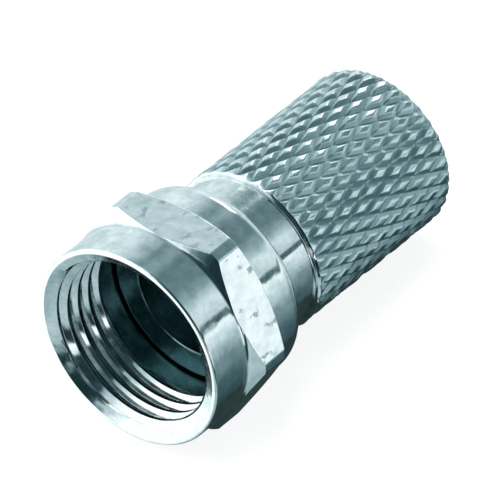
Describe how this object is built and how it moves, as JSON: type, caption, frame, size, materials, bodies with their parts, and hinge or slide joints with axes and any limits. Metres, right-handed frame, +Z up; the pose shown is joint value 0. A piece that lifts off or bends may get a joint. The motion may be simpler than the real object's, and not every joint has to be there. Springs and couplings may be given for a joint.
{
  "type": "screw-on coaxial f connector",
  "caption": "Screw-on F plug for coaxial cable: a hexagon coupling nut with a threaded mouth that spins on a diamond-knurled sleeve.",
  "frame": {"origin": "centre of the sleeve's front face, inside the nut, where the socket's rim seats", "axes": "+Y along the connector's axis towards the cable, -Y out of the nut's mouth, +Z up with one flat of the hexagon facing down"},
  "size_m": [0.0124, 0.02, 0.011],
  "materials": {
    "nut_plating": "satin nickel plating",
    "sleeve_plating": "satin nickel plating over diamond knurling"
  },
  "bodies": {
    "sleeve": {"knurled_sleeve": "sleeve_plating"},
    "nut": {"coupling_nut": "nut_plating"}
  },
  "joints": [
    {"name": "nut_spin", "type": "hinge", "parent": "sleeve", "child": "nut", "pos_m": [0, 0, 0], "axis": [0, 1, 0], "continuous": true}
  ]
}
